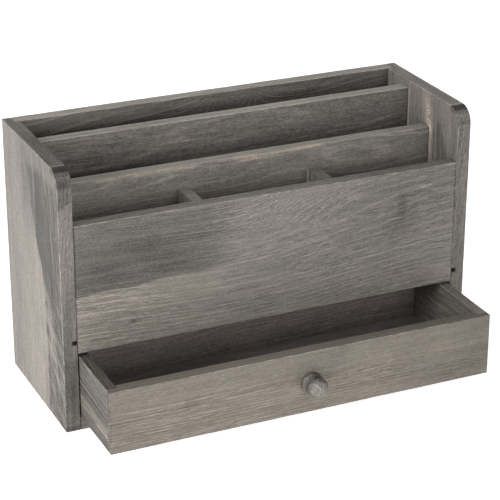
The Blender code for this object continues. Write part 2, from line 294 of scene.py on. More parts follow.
def round_arrises(points, half, radius):
    """A box's points, its edges rounded to each point's radius, and their outward directions."""
    inner = half - radius[:, None]
    core = np.clip(points, -inner, inner)
    out = points - core
    direction = out / np.linalg.norm(out, axis=1)[:, None]
    return core + direction * radius[:, None], direction


def round_corner(points, rounded, direction, half, radius, corner):
    """Bends a side's top front corner to a quarter circle, with rounded arrises."""
    ahead = -points[:, Y] - (half[Y] - corner)
    above = points[:, Z] - (half[Z] - corner)
    inside = (ahead > 0) & (above > 0)
    ahead, above, radius = ahead[inside], above[inside], radius[inside]
    shell = np.maximum(ahead, above)
    core_x = np.clip(points[inside, X], radius - half[X], half[X] - radius)
    core_shell = np.minimum(shell, corner - radius)
    out_x, out_shell = points[inside, X] - core_x, shell - core_shell
    length = np.hypot(out_x, out_shell)
    out_x, out_shell = out_x / length, out_shell / length
    turn = np.hypot(ahead, above)
    ahead, above = ahead / turn, above / turn
    reach = core_shell + out_shell * radius
    rounded[inside, X] = core_x + out_x * radius
    rounded[inside, Y] = corner - half[Y] - ahead * reach
    rounded[inside, Z] = half[Z] - corner + above * reach
    direction[inside] = np.stack([out_x, -ahead * out_shell, above * out_shell], axis=1)


def new_object(name, data):
    thing = bpy.data.objects.new(name, data)
    bpy.context.scene.collection.objects.link(thing)
    return thing


def new_piece(name, points, faces):
    """A mesh object of an array of points and a list of faces."""
    mesh = bpy.data.meshes.new(name)
    mesh.from_pydata(points.tolist(), [], faces)
    return new_object(name, mesh)


def arris_radius(timber, points, centre, half):
    """The arris radius at each point: uneven, with chips, small at a butted end."""
    world = points + centre
    softness = value_noise(world / SOFTNESS_SIZE, timber.seed + 40) ** 2
    chips = rise(0.8, 0.97, value_noise(world / CHIP_SIZE, timber.seed + 50))
    radius = ARRIS_SMALL + (ARRIS_LARGE - ARRIS_SMALL) * softness + CHIP_DEPTH * chips
    if timber.butted:
        from_end = half[timber.grain] - np.abs(points[:, timber.grain])
        radius *= BUTTED_ARRIS + (1 - BUTTED_ARRIS) * rise(0.0005, 0.005, from_end)
    return radius


def shape_board(timber):
    """The board's body: worn arrises, chips, and faces that follow the rings."""
    low, high = box_of(timber.node)
    centre, half = (low + high) / 2, (high - low) / 2
    if timber.butted:
        half[timber.grain] += TIGHT
    steps = by_axis(timber.grain, STEP_ALONG * timber.fine, STEP_ACROSS * timber.fine)
    points, quads = box_shell([stations(half[axis], steps[axis]) for axis in range(3)])
    radius = arris_radius(timber, points, centre, half)
    rounded, direction = round_arrises(points, half, radius)
    if timber.corner:
        round_corner(points, rounded, direction, half, radius, timber.corner)
    world = rounded + centre
    vein = timber.marks_at(world)[1]
    ridge = 0.5 - 0.5 * np.cos(2 * math.pi * timber.rings(world))
    ripple = 0.5 + 0.5 * cloud(world, by_axis(timber.grain, RIPPLE_LENGTH, RIPPLE_WIDTH), timber.seed + 60)
    depth = RIDGE_DEPTH * ridge * vein + RIPPLE_DEPTH * ripple
    return new_piece(f"{timber.node}_timber", world - direction * depth[:, None], quads)


# ---- cuts

# Room round a piece that is let in, and how far an open cut and a back brad's bore run on
CLEARANCE = 0.0003
PAST = 0.02
BRAD_MOUTH = 0.002
ROD_SIDES = 20

# Which nodes are let into which board, with the sides on which the cut runs on (X, Y, Z)
FLOOR_IN_SIDE = ("compartment_floor", (0, 1, 0), (0, 1, 0))
BACK_IN_SIDE = ("back_panel", (0, 0, 1), (0, 1, 1))
DRAWER_FLOOR = ("drawer_bottom", (0, 0, 0), (0, 0, 0))
HOUSINGS = {
    "left_side_panel": (FLOOR_IN_SIDE, BACK_IN_SIDE),
    "right_side_panel": (FLOOR_IN_SIDE, BACK_IN_SIDE),
    "drawer_front": (
        DRAWER_FLOOR,
        ("drawer_left_side", (1, 0, 1), (0, 1, 1)),
        ("drawer_right_side", (0, 0, 1), (1, 1, 1)),
    ),
    "drawer_left_side": (DRAWER_FLOOR,),
    "drawer_right_side": (DRAWER_FLOOR,),
    "drawer_back": (DRAWER_FLOOR,),
}


def rod_cutter(axis, centre, radius, start, end):
    """A round cutter along one axis, from start to end."""
    angles = 2 * math.pi * np.arange(ROD_SIDES) / ROD_SIDES
    second, third = (axis + 1) % 3, (axis + 2) % 3
    points = np.zeros((2, ROD_SIDES, 3))
    points[:, :, axis] = [[start], [end]]
    points[:, :, second] = centre[second] + radius * np.cos(angles)
    points[:, :, third] = centre[third] + radius * np.sin(angles)
    faces = [[*range(ROD_SIDES)][::-1], [*range(ROD_SIDES, 2 * ROD_SIDES)]]
    for side in range(ROD_SIDES):
        after = (side + 1) % ROD_SIDES
        faces.append([side, after, ROD_SIDES + after, ROD_SIDES + side])
    return new_piece("cutter", points.reshape(-1, 3), faces)


def housing(node, open_low, open_high):
    """A cutter that makes room for a node, and runs on at the open sides."""
    low, high = box_of(node)
    low -= CLEARANCE + PAST * np.array(open_low)
    high += CLEARANCE + PAST * np.array(open_high)
    return new_piece("cutter", *box_shell(np.stack([low, high], axis=1)))


def bore(node):
    """A cutter a little wider than a dowel, brad or screw. A back brad's runs out to air."""
    low, high = box_of(node)
    axis = int(np.argmax(high - low))
    radius = (high - low)[(axis + 1) % 3] / 2
    ends = [low[axis] - CLEARANCE, high[axis] + CLEARANCE]
    if node.startswith("back_brad"):
        outside = np.argmax(np.abs([low[axis], high[axis]]))
        ends[outside] += (-BRAD_MOUTH, BRAD_MOUTH)[outside]
    return rod_cutter(axis, (low + high) / 2, radius + 0.5 * CLEARANCE, *ends)


def rods_through(timber):
    """The dowels, brads and screws whose boxes meet this board's box."""
    low, high = box_of(timber.node)
    for node in sorted(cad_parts):
        if "dowel" in node or "brad" in node or "screw" in node:
            rod_low, rod_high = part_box(node)
            if all(rod_low[axis] < high[axis] and rod_high[axis] > low[axis] for axis in range(3)):
                yield node


def cut_board(timber, piece):
    cutters = [housing(*row) for row in HOUSINGS.get(timber.node, ())]
    cutters += [bore(node) for node in rods_through(timber)]
    for cutter in cutters:
        modifier = piece.modifiers.new("cut", "BOOLEAN")
        modifier.operation = "DIFFERENCE"
        modifier.solver = "MANIFOLD"
        modifier.object = cutter
    graph = bpy.context.evaluated_depsgraph_get()
    whole = piece.data
    piece.data = bpy.data.meshes.new_from_object(piece.evaluated_get(graph))
    piece.modifiers.clear()
    bpy.data.meshes.remove(whole)
    for cutter in cutters:
        bpy.data.meshes.remove(cutter.data)


def shade(mesh, sharp_angle=40):
    """Smooth shading, but for sharper edges than sharp_angle degrees."""
    mesh.shade_smooth()
    mesh.set_sharp_from_angle(angle=math.radians(sharp_angle))


def write_marks(mesh, marks):
    """Stores numbers for the shader to read, one for each point."""
    for name, values in marks.items():
        layer = mesh.attributes.new(name, "FLOAT", "POINT")
        layer.data.foreach_set("value", values.astype(np.float32))


def points_of(mesh):
    flat = np.zeros(len(mesh.vertices) * 3, np.float32)
    mesh.vertices.foreach_get("co", flat)
    return flat.reshape(-1, 3).astype(float)


# ---- shader nodes


class Nodes:
    """A new material, with short ways to add nodes to it."""

    def __init__(self, name):
        self.material = bpy.data.materials.new(name)
        self.material.use_nodes = True
        self.tree = self.material.node_tree
        self.shader = self.tree.nodes["Principled BSDF"]

    def feed(self, node, inputs):
        for key, value in inputs.items():
            if isinstance(value, bpy.types.NodeSocket):
                self.tree.links.new(value, node.inputs[key])
            else:
                node.inputs[key].default_value = value

    def add(self, kind, inputs, **settings):
        node = self.tree.nodes.new(kind)
        for name, value in settings.items():
            setattr(node, name, value)
        self.feed(node, inputs)
        return node

    def place(self):
        return self.add("ShaderNodeTexCoord", {}).outputs["Object"]

    def attribute(self, name):
        return self.add("ShaderNodeAttribute", {}, attribute_name=name).outputs["Fac"]

    def maths(self, operation, first, second=0.0, third=0.0, clamp=False):
        inputs = {0: first, 1: second, 2: third}
        return self.add("ShaderNodeMath", inputs, operation=operation, use_clamp=clamp).outputs[0]

    def times(self, first, second, clamp=False):
        return self.maths("MULTIPLY", first, second, clamp=clamp)

    def times_plus(self, first, second, third):
        return self.maths("MULTIPLY_ADD", first, second, third)

    def weighted(self, total, source, weight):
        """total plus weight times source, taken from its middle."""
        return self.times_plus(self.maths("SUBTRACT", source, 0.5), weight, total)

    def remap(self, value, low, high, to_low=0.0, to_high=1.0):
        """value smoothly taken from low..high to to_low..to_high."""
        inputs = {"Value": value, "From Min": low, "From Max": high, "To Min": to_low, "To Max": to_high}
        return self.add("ShaderNodeMapRange", inputs, interpolation_type="SMOOTHSTEP").outputs[0]

    def blend(self, share, first, second, mode="MIX"):
        """first where share is 0; second, or their product, where it is 1."""
        inputs = {0: share, 6: first, 7: second}
        return self.add("ShaderNodeMix", inputs, data_type="RGBA", blend_type=mode).outputs[2]

    def ramp(self, value, stops):
        """A colour ramp from (place, linear colour) stops."""
        node = self.add("ShaderNodeValToRGB", {0: value})
        elements = node.color_ramp.elements
        while len(elements) < len(stops):
            elements.new(0.5)
        for element, (place, colour) in zip(elements, stops):
            element.position = place
            element.color = (*colour, 1.0)
        return node.outputs[0]

    def noise(self, vector, detail, roughness, distortion=0.0):
        inputs = {"Vector": vector, "Scale": 1.0, "Detail": detail, "Roughness": roughness}
        return self.add("ShaderNodeTexNoise", inputs | {"Distortion": distortion}).outputs[0]

    def bump(self, height, strength, distance):
        inputs = {"Height": height, "Strength": strength, "Distance": distance}
        return self.add("ShaderNodeBump", inputs).outputs[0]

    def finished(self, colour, rough, normal, others=()):
        inputs = {"Base Color": colour, "Roughness": rough, "Normal": normal}
        self.feed(self.shader, inputs | dict(others))
        return self.material

    def clouded(self, scale, roughness, stops, rough, strength, distance, others=()):
        """A material whose colour, roughness and relief all follow one noise."""
        vector = self.add("ShaderNodeMapping", {"Vector": self.place(), "Scale": scale}).outputs[0]
        cloudy = self.noise(vector, 3.0, roughness)
        normal = self.bump(cloudy, strength, distance)
        return self.finished(self.ramp(cloudy, stops), self.remap(cloudy, *rough), normal, others)


# ---- materials

# The stain's colour from its darkest tone, 0, to its palest, 1
STAIN = (
    (0.00, (0.0205, 0.019, 0.0178)),
    (0.25, (0.0665, 0.0625, 0.0575)),
    (0.5, (0.1645, 0.152, 0.137)),
    (0.75, (0.3, 0.282, 0.252)),
    (1.00, (0.475, 0.448, 0.4)),
)
WORN = (*STAIN[-1][1], 1.0)
WARM = (0.29, 0.232, 0.188, 1.0)
BARE = (0.405, 0.325, 0.24)
BARE_BARS = ((0.38, (0.235, 0.19, 0.145)), (0.5, BARE), (0.62, (0.54, 0.46, 0.365)))

# One year's growth: the soft early wood takes the stain, the hard late wood stays a pale line
YEAR_GREYS = {0.0: 0.5, 0.12: 0.44, 0.45: 0.46, 0.66: 0.3, 0.76: 0.55, 0.84: 1.0, 0.92: 0.85, 1.0: 0.5}
YEAR = [(place, (grey,) * 3) for place, grey in YEAR_GREYS.items()]

# How far each feature moves the tone
LINE_TONE = 0.36
FIBRE_TONE = 0.22
STREAK_TONE = 0.15
BLOTCH_TONE = 0.2
FLECK_TONE = -0.06
END_TONE = -0.13
BAR_TONE = 1.5

STROKE_GAP_MM = 2.1
WARMTH = 0.22
CELLS_ACROSS = 600.0


class PineNodes(Nodes):
    """Nodes of stained pine, its fibres along one axis, its marks from the mesh."""

    def __init__(self, name, grain, seed, finish):
        super().__init__(name)
        self.grain, self.seed, self.finish = grain, seed, finish
        self.here = self.place()
        self.along = self.add("ShaderNodeSeparateXYZ", {0: self.here}).outputs[grain]
        across = {0: self.here, 1: by_axis(self.grain, 0.0, CELLS_ACROSS)}
        self.across = self.add("ShaderNodeVectorMath", across, operation="DOT_PRODUCT").outputs["Value"]
        self.flow = self.attribute("flow")
        self.vein = self.attribute("vein")
        self.tan = self.attribute("tan")
        self.bare = self.remap(self.tan, 0.55, 1.15)
        self.clarity = self.maths("ADD", self.vein, 0.35)
        self.fibre = self.grain_noise(24, 1.0, 3.0, 0.6)
        self.dashes = self.flow_noise(8, 0.85)
        self.flecks = self.remap(self.grain_noise(5.5, 0.95, 2.0, 0.6), 0.6, 0.72)
        self.streaks = self.grain_noise(120, 4.5, 3.0, 0.6)
        self.ticks = self.grain_noise(1.2, 5.0, 1.0, 0.5)
        self.strokes = self.short_strokes()
        self.lines = self.year_lines()

    def grain_noise(self, along_mm, across_mm, detail=2.0, roughness=0.5, distortion=0.0):
        """Noise whose cells are long in the grain's direction."""
        shift = tuple(3.7 * self.seed + 11.3 * axis for axis in range(3))
        scale = by_axis(self.grain, 1000 / along_mm, 1000 / across_mm)
        inputs = {"Vector": self.here, "Location": shift, "Scale": scale}
        vector = self.add("ShaderNodeMapping", inputs).outputs[0]
        return self.noise(vector, detail, roughness, distortion)

    def flow_noise(self, along_mm, across_mm):
        """Noise whose cells follow the growth rings."""
        inputs = {0: self.times_plus(self.along, 1000 / along_mm, 5.3 * self.seed)}
        inputs[1] = self.times(self.flow, 1 / across_mm)
        inputs[2] = self.across
        vector = self.add("ShaderNodeCombineXYZ", inputs).outputs[0]
        return self.noise(vector, 2.0, 0.6)

    def short_strokes(self):
        """Fine strokes that follow the rings and break up along them."""
        drift = self.times(self.flow_noise(11, 5.0), 2.2)
        phase = self.times_plus(self.flow, 1 / STROKE_GAP_MM, drift)
        wave = self.maths("SINE", self.times(phase, 2 * math.pi))
        broken = self.remap(self.flow_noise(12, 2.2), 0.36, 0.62, 0.1, 1.25)
        faded = self.remap(self.grain_noise(55, 22), 0.38, 0.6, 0.25, 1.15)
        strength = self.times(self.times(self.clarity, broken), faded)
        return self.times(wave, strength)

    def year_lines(self):
        """Late wood above 0 and early wood below, fading in and out."""
        ring = self.weighted(self.attribute("ring"), self.fibre, 0.22)
        year = self.maths("SUBTRACT", self.ramp(self.maths("FRACT", ring), YEAR), 0.5)
        fading = self.remap(self.grain_noise(34, 4.5, 2.0, 0.6), 0.38, 0.58, 0.15, 1.15)
        return self.times(year, self.times(self.vein, fading))

    def tone(self):
        """How pale the stain is, with the painted shade held in the marks, from 0 to 1."""
        tone = self.maths("ADD", self.attribute("tone"), 0.5)
        tone = self.times_plus(self.lines, LINE_TONE, tone)
        tone = self.times_plus(self.strokes, self.finish.stroke, tone)
        along = self.weighted(self.weighted(0.0, self.fibre, FIBRE_TONE), self.dashes, FIBRE_TONE)
        along = self.weighted(along, self.streaks, STREAK_TONE)
        tone = self.times_plus(along, self.clarity, tone)
        tone = self.weighted(tone, self.grain_noise(60, 28, 3.0, 0.55, 0.6), BLOTCH_TONE)
        tone = self.weighted(tone, self.grain_noise(2.0, 0.85, 1.0, 0.5), self.finish.grit)
        tone = self.times_plus(self.flecks, FLECK_TONE, tone)
        tone = self.times_plus(self.attribute("end"), END_TONE, tone)
        return self.weighted(tone, self.ticks, self.times(self.bare, BAR_TONE * self.finish.bars))

    def warmed(self, colour):
        """The colour, warmer along late wood, wide streaks and near bare wood."""
        line = self.times(self.maths("MAXIMUM", self.lines, 0.0), 1.5, clamp=True)
        warm = self.times_plus(self.remap(self.streaks, 0.45, 0.68), 0.5, line)
        warm = self.times_plus(self.tan, 1.6, warm)
        return self.blend(self.times(warm, WARMTH, clamp=True), colour, WARM)

    def bared(self, colour):
        """The colour, with bare wood where tan is high, barred across the grain."""
        share = self.weighted(self.times_plus(self.tan, 1.0, -0.68), self.fibre, 1.1)
        share = self.weighted(self.weighted(share, self.streaks, 1.3), self.dashes, 1.2)
        share = self.weighted(share, self.ticks, self.times(self.bare, 1.8 * self.finish.bars))
        share = self.times_plus(self.lines, 0.7, share)
        share = self.remap(share, 0.0, 0.4, 0.0, 0.75)
        barred = self.blend(self.finish.bars, (*BARE, 1.0), self.ramp(self.ticks, BARE_BARS))
        return self.blend(share, colour, barred)

    def relief(self):
        """Height of the finest relief, below what the mesh holds."""
        height = self.times_plus(self.fibre, 0.8, self.times(self.dashes, 0.9))
        for feature, weight in ((self.strokes, 0.2), (self.lines, 0.5), (self.flecks, -0.5)):
            height = self.times_plus(feature, weight, height)
        return height


def stained_pine(name, grain, seed, finish):
    """Grey-stained pine, rubbed paler and smoother along its arrises."""
    wood = PineNodes(name, grain, seed, finish)
    stain = wood.ramp(wood.tone(), STAIN)
    colour = wood.warmed(wood.blend(1.0, stain, (*finish.tint, 1.0), "MULTIPLY"))
    colour = wood.bared(colour)
    rubbing = wood.times_plus(wood.grain_noise(9, 3.0, 3.0, 0.65), 2.4, wood.attribute("arris"))
    worn = wood.remap(rubbing, 1.1, 1.75, 0.42, 0.0)
    rough = wood.times_plus(worn, -0.25, wood.weighted(0.66, wood.fibre, -0.22))
    normal = wood.bump(wood.relief(), 0.5, 0.00022)
    return wood.finished(wood.blend(worn, colour, WORN), rough, normal, {"Specular IOR Level": 0.35})


def plain_wood(name, grain, dark, light):
    """Unstained dowel wood with fine pores along its grain."""
    scale = by_axis(grain, 1000 / 9, 1000 / 0.5)
    stops, rough = ((0.3, dark), (0.7, light)), (0.2, 0.8, 0.75, 0.55)
    return Nodes(name).clouded(scale, 0.65, stops, rough, 0.4, 0.0002)


def worn_metal(name, dark, light, rough_low, rough_high):
    """Plated steel with cloudy tarnish."""
    stops, rough = ((0.35, dark), (0.65, light)), (0.3, 0.7, rough_high, rough_low)
    return Nodes(name).clouded((900, 900, 900), 0.6, stops, rough, 0.25, 0.0001, {"Metallic": 1.0})


# ---- how each board is stained and worn, and where shade is painted on it

# Each function here changes a board's tone, vein and tan in place. Depths are below a board's top,
# heights above the base, and the rest from the frame's origin.

CASE_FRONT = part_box("left_side_panel")[0][Y]

# Turns Y and Z by some fifty degrees, for strokes that cross the grain at a slant
SLANT = np.array(((1, 0, 0), (0, 0.59, 0.81), (0, -0.81, 0.59)))

# The left side's dark figure: where its rear edge is at some heights
FIGURE_HEIGHTS = (0.0, 0.096, 0.116, 0.135, 0.15, 0.187, 0.203)
FIGURE_EDGE = (-0.0255, -0.0245, -0.019, -0.0086, -0.005, 0.006, 0.008)

# The right side's rubbed stripe: its centre and width at some heights, and how bare it is at others
STRIPE_HEIGHTS = (0.174, 0.178, 0.203)
STRIPE_CENTRES = (-0.0197, -0.0165, -0.0115)
STRIPE_WIDTHS = (0.0024, 0.0055, 0.0065)
BARE_HEIGHTS = (0.12, 0.15, 0.172, 0.178, 0.186, 0.194, 0.203)
BARENESS = (0, 0.7, 1, 1.2, 1.0, 0.8, 0.5)


def below_top(node, points):
    """How far each point is below a node's top."""
    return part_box(node)[1][Z] - points[:, Z]


def spot(points, x, z, width, height):
    """A soft patch on a face that looks along Y."""
    return patch(points, (x, 0, z), (width, NO_LIMIT, height))


def front_edge(points):
    """1 on the narrow front edge of a side, 0 on its faces."""
    return rise(0.001, 0.0003, points[:, Y] - CASE_FRONT)


def corner_marks(points, tone, top_tone, front_tone):
    """A side's streaked top edge, a rubbed line, and the round corner's stained end grain."""
    below = below_top("left_side_panel", points)
    top = rise(0.001, 0.0003, below)
    tone += top * (top_tone + 0.2 * cloud(points, (0.0012, 0.034, 1), 331))
    ahead = CASE_FRONT + CASE_CORNER - points[:, Y]
    above = CASE_CORNER - below
    turn = np.degrees(np.arctan2(ahead, above))
    on_arc = (ahead > 0) & (above > 0) & (np.hypot(ahead, above) > CASE_CORNER - 0.0009)
    tone -= on_arc * (0.38 * band(6, 34, turn, 4) + front_tone * rise(54, 66, turn))
    tone += 0.3 * (below < 0.0009) * line_at(ahead, 0, 0.0008)


def left_side_marks(points, tone, vein, tan):
    """A pale rear part, and a darker front part with a long pointed figure in it."""
    x, y, z = points.T
    sway = 0.0008 * np.sin(z * 90) + 0.0006 * np.sin(z * 210)
    edge = np.interp(z, FIGURE_HEIGHTS, FIGURE_EDGE) + sway
    soft = 0.0006 + 0.0025 * rise(0.14, 0.19, z)
    narrow = front_edge(points)
    face = 1 - narrow
    front = rise(edge + soft, edge - soft, y) * rise(0.192, 0.184, z) * face
    rear = (1 - front) * face

    dull = rise(0.12, 0.175, z) * (1 - 0.75 * rise(0.008, 0.032, y))
    tone += (0.012 - 0.11 * dull) * rear - 0.225 * front
    tone -= 0.035 * rear * band(0.031, 0.046, y, 0.003) * rise(0.11, 0.09, z)
    tone += 0.055 * rear * patch(points, (0, -0.02, 0.075), (NO_LIMIT, 0.024, 0.055))
    tan += 0.34 * rear * band(-0.03, 0.022, y, 0.008) * rise(0.14, 0.1, z)

    upper = rise(0.095, 0.125, z)
    rim = rise(-0.0525, -0.0545, y + sway) * rise(0.105, 0.118, z)
    tone -= (0.055 - 0.03 * rise(0.15, 0.175, z)) * front * upper * (1 - rim)
    tone += 0.03 * front * rim
    tone += 0.12 * front * line_at(y + sway, -0.0537, 0.0006) * band(0.115, 0.16, z, 0.004)
    for place, change in ((-0.0262, -0.06), (-0.0285, 0.09)):
        tone += change * face * line_at(y + sway, place, 0.0007) * band(0.12, 0.19, z, 0.006)
    tone -= 0.1 * front * patch(points, (0, -0.036, 0.106), (NO_LIMIT, 0.01, 0.011))
    slant = cloud(points @ SLANT, (0.004, 0.0019, 0.013), 301)
    strokes = 0.19 * rise(0.06, 0.32, slant) - 0.09 * rise(-0.08, -0.36, slant)
    tone += strokes * front * (1 - upper)

    dark_from = 0.177 + 0.55 * (x + 0.1595)
    tone -= narrow * (0.17 * rise(dark_from - 0.0006, dark_from + 0.0006, z) + 0.06)
    tone += narrow * (0.05 * rise(0.09, 0.15, z) - 0.085 * rise(0.066, 0.052, z))
    corner_marks(points, tone, 0.12, 0.17)
    vein += 0.3 * front - 0.12 * rear - 0.25 * narrow


def right_side_marks(points, tone, vein, tan):
    """Rubbed stripes inside, by the ends of the dividers, and a dark wedge before them."""
    x, y, z = points.T
    inside = rise(0.1555, 0.1545, x)
    narrow = front_edge(points)
    centre = np.interp(z, STRIPE_HEIGHTS, STRIPE_CENTRES)
    broken = 0.45 + 0.55 * value_noise(points / (0.004, 0.003, 0.005), 311)
    stripe = np.interp(z, BARE_HEIGHTS, BARENESS) * inside * broken
    stripe *= line_at(y, centre, np.interp(z, STRIPE_HEIGHTS, STRIPE_WIDTHS))
    thin_stripe = line_at(y, 0.0158, 0.0011) * band(0.115, 0.197, z, 0.004) * inside
    tan += 1.15 * stripe + 0.4 * thin_stripe
    tone += 0.33 * stripe + 0.2 * thin_stripe
    tone -= 0.12 * line_at(y, -0.025, 0.0009) * band(0.15, 0.197, z, 0.005) * inside
    wedge = band(-0.0355 - 0.012 * rise(0.187, 0.15, z), -0.03, y, 0.0007)
    tone -= 0.14 * wedge * inside * rise(0.19, 0.18, z)
    tone -= inside * (0.09 - 0.02 * rise(0.175, 0.1765, z)) + 0.1 * narrow
    vein -= 0.3 * narrow
    corner_marks(points, tone, 0.22, 0.1)


def front_panel_marks(points, tone, vein, tan):
    """A dark, even upper left over a warm band of clear lines; short strokes over the rest."""
    x, _, z = points.T
    boundary = 0.1062 + 0.0006 * np.sin(x * 130) + 0.0035 * rise(-0.154, -0.06, x)
    left = rise(-0.02, -0.062, x)
    low = rise(boundary + 0.0007, boundary - 0.0007, z)
    tone += left * (0.05 * low - 0.145 * (1 - low))
    dark = spot(points, -0.108, 0.137, 0.022, 0.012) + spot(points, -0.126, 0.116, 0.024, 0.013)
    dark += 0.7 * spot(points, -0.08, 0.122, 0.022, 0.012)
    tone -= 0.09 * dark * (1 - low)
    tone += 0.06 * spot(points, -0.15, 0.156, 0.01, 0.008) + 0.02 * spot(points, 0.0, 0.128, 0.05, 0.03)
    speckles = value_noise(points / (0.006, 1, 0.02), 321)
    tone -= (0.04 + 0.21 * speckles) * spot(points, 0.109, 0.13, 0.008, 0.014)
    tone -= 0.07 * spot(points, 0.1, 0.116, 0.006, 0.005)
    tone -= 0.42 * spot(points, -0.111, 0.0795, 0.0036, 0.0012)
    tone -= rise(0.03, 0.1, x) * (0.015 + 0.09 * rise(0.09, 0.12, z))
    top = rise(0.0009, 0.0003, below_top("front_panel", points))
    tone += 0.12 * top * rise(0.0, -0.05, x)
    far_left = rise(-0.075, -0.115, x)
    vein += low * left * (0.58 * far_left - 0.1) - 0.18 * (1 - left) * rise(0.09, 0.11, z)
    vein -= (0.5 - 0.75 * spot(points, -0.052, 0.142, 0.026, 0.015)) * left * (1 - low)
    tan += 0.3 * low * left


def front_panel_bend(points):
    """The grain sinks a little at the left, then climbs past the middle, most of all near the top."""
    x, _, z = points.T
    climb = 0.018 * rise(-0.05, 0.17, x) - 0.004 * rise(-0.154, -0.04, x)
    climb += 0.014 * rise(-0.04, 0.07, x) * rise(0.1, 0.15, z)
    return climb + 0.006 * rise(-0.008, 0.024, x) * rise(0.125, 0.156, z)


def middle_divider_marks(points, tone, vein, tan):
    """Broken tan streaks along the top arris: one below it at the left, two at it past the middle."""
    x = points[:, X]
    below = below_top("middle_divider", points)
    at_left = band(-0.124, -0.04, x, 0.006)
    at_middle = band(-0.032, 0.062, x, 0.006)
    at_right = band(0.128, 0.142, x, 0.004)
    strands = at_left * line_at(below, 0.0018, 0.0015)
    strands += (at_middle + 0.7 * at_right) * line_at(below, 0.0008, 0.0018)
    strands += at_middle * rise(0.04, 0.0, x) * line_at(below, 0.0038, 0.0011)
    on_top = rise(0.0006, 0.0002, below)
    strands *= 1 - 0.75 * on_top * rise(-0.016, -0.0145, points[:, Y])
    strands *= rise(0.16, 0.58, value_noise(points / (0.016, 0.004, 0.0013), 341))
    tan += 1.3 * strands
    tone += 0.2 * strands + (0.15 - 0.07 * rise(0.1, 0.14, x)) * on_top
    # Painted shade: the face darkens downwards, deeper in the slot.
    tone += 0.025 + 0.045 * rise(0.0, -0.08, x) - 0.09 * rise(0.0155, 0.0505, below)


def rear_divider_marks(points, tone, vein, tan):
    """A pale top edge, and faces that darken away from the middle, with painted shade darkening them
    downwards.
    """
    x = points[:, X]
    below = below_top("rear_divider", points)
    tone -= 0.04 * rise(0.0, -0.1, x) + 0.03 * rise(0.0, 0.08, x)
    tone += 0.04 * spot(points, -0.125, 0.186, 0.02, 0.008)
    paler = 0.31 + 0.1 * rise(-0.125, -0.145, x) + 0.06 * rise(0.0, 0.03, x)
    paler += 0.09 * cloud(points, (0.02, 0.0016, 1), 371)
    tone += paler * rise(0.0009, 0.0002, below)
    # Painted shade: the faces darken downwards, deeper in the slots.
    tone -= 0.12 * rise(0.011, 0.047, below)


def back_panel_marks(points, tone, vein, tan):
    """A pale top edge; the front face is darker, with painted shade most of all below the rear divider's
    top.
    """
    below = below_top("back_panel", points)
    paler = 0.3 + 0.08 * cloud(points, (0.03, 0.0016, 1), 361)
    tone += paler * rise(0.001, 0.0002, below)
    on_face = below > 0.0006
    tone -= 0.06 * rise(0.03, 0.08, points[:, X]) * on_face
    # Painted shade: the face behind the rear divider darkens below that divider's top, as its shadow.
    tone -= (0.05 + 0.2 * rise(0.004, 0.019, below)) * (points[:, Y] < 0.056) * on_face


def drawer_front_marks(points, tone, vein, tan):
    """An even upper part over clear straight lines, darker at the right end; its top edge is dark."""
    x, y, z = points.T
    below = below_top("drawer_front", points)
    lined = rise(0.044, 0.036, z + 0.0015 * np.sin(x * 25)) * (1 - 0.85 * rise(0.06, 0.11, x))
    vein += 1.1 * lined - 0.45
    tone -= 0.015 * lined
    upper_spots = spot(points, -0.1, 0.05, 0.07, 0.02) - spot(points, -0.02, 0.05, 0.05, 0.02)
    tone += 0.025 * (1 - lined) * upper_spots + 0.05 * spot(points, 0.06, 0.047, 0.016, 0.006)
    tone -= 0.07 * spot(points, 0.13, 0.026, 0.04, 0.01) + 0.06 * spot(points, 0.145, 0.047, 0.02, 0.01)
    tone -= 0.022 + 0.04 * rise(-0.05, 0.1, x)
    tan += 0.26 * lined * rise(0.13, 0.03, x)
    tone -= 0.05 * rise(0.0007, 0.0001, below) + 0.14 * rise(0.1522, 0.1528, np.abs(x))
    # Painted shade: the inner face, inside the drawer, is darker.
    tone -= 0.12 * (y > -0.1125)


def drawer_left_marks(points, tone, vein, tan):
    """Two pale lines over a tan strip, low on its outer face; painted shade inside the drawer, and dark
    along the top.
    """
    x, y, z = points.T
    below = below_top("drawer_left_side", points)
    outside = rise(-0.149, -0.151, x) * rise(0.0001, 0.0007, below)
    slope = z - 0.06 * (y + 0.07)
    strip = line_at(slope, 0.0255, 0.0062) * outside
    strip *= 0.45 + 0.55 * rise(0.2, 0.7, value_noise(points / (0.002, 0.014, 0.003), 351))
    tan += 0.62 * strip
    tone += 0.13 * strip
    tone += outside * (0.1 * rise(0.045, 0.049, slope) - 0.28)
    tone -= outside * 0.12 * rise(0.0165, 0.014, z)
    for height in (0.0395, 0.0435):
        tone += 0.24 * line_at(slope, height, 0.0006) * outside
    for height in (0.033, 0.0363, 0.0414, 0.0205):
        tone -= 0.12 * line_at(slope, height, 0.0008) * outside
    # Painted shade: the faces inside the drawer are darker. The top edge is darker as well.
    tone -= 0.2 * rise(0.001, 0.0002, below) + 0.12 * (1 - outside)


def drawer_right_marks(points, tone, vein, tan):
    """Painted shade: darker inside the drawer than on its top edge."""
    below = below_top("drawer_right_side", points)
    inside = rise(0.1485, 0.1465, points[:, X]) * rise(0.0001, 0.0007, below)
    # Painted shade on the inner face.
    tone -= 0.23 * inside
    vein += 0.2 * inside


def drawer_back_marks(points, tone, vein, tan):
    """Painted shade towards its foot, where it meets the floor; darker also towards its right end."""
    # Painted shade at the foot.
    tone -= 0.08 * rise(0.026, 0.019, points[:, Z])
    tone += 0.09 * rise(0.06, -0.04, points[:, X])


def partition_marks(points, tone, vein, tan):
    """A pale line of old glue down the rear corner, and a rubbed top."""
    rear = rise(-0.0212, -0.02, points[:, Y])
    top = rise(0.0006, 0.0002, below_top("left_partition", points))
    tan += 0.7 * rear
    tone += 0.26 * rear + 0.17 * (1 - rear) * top


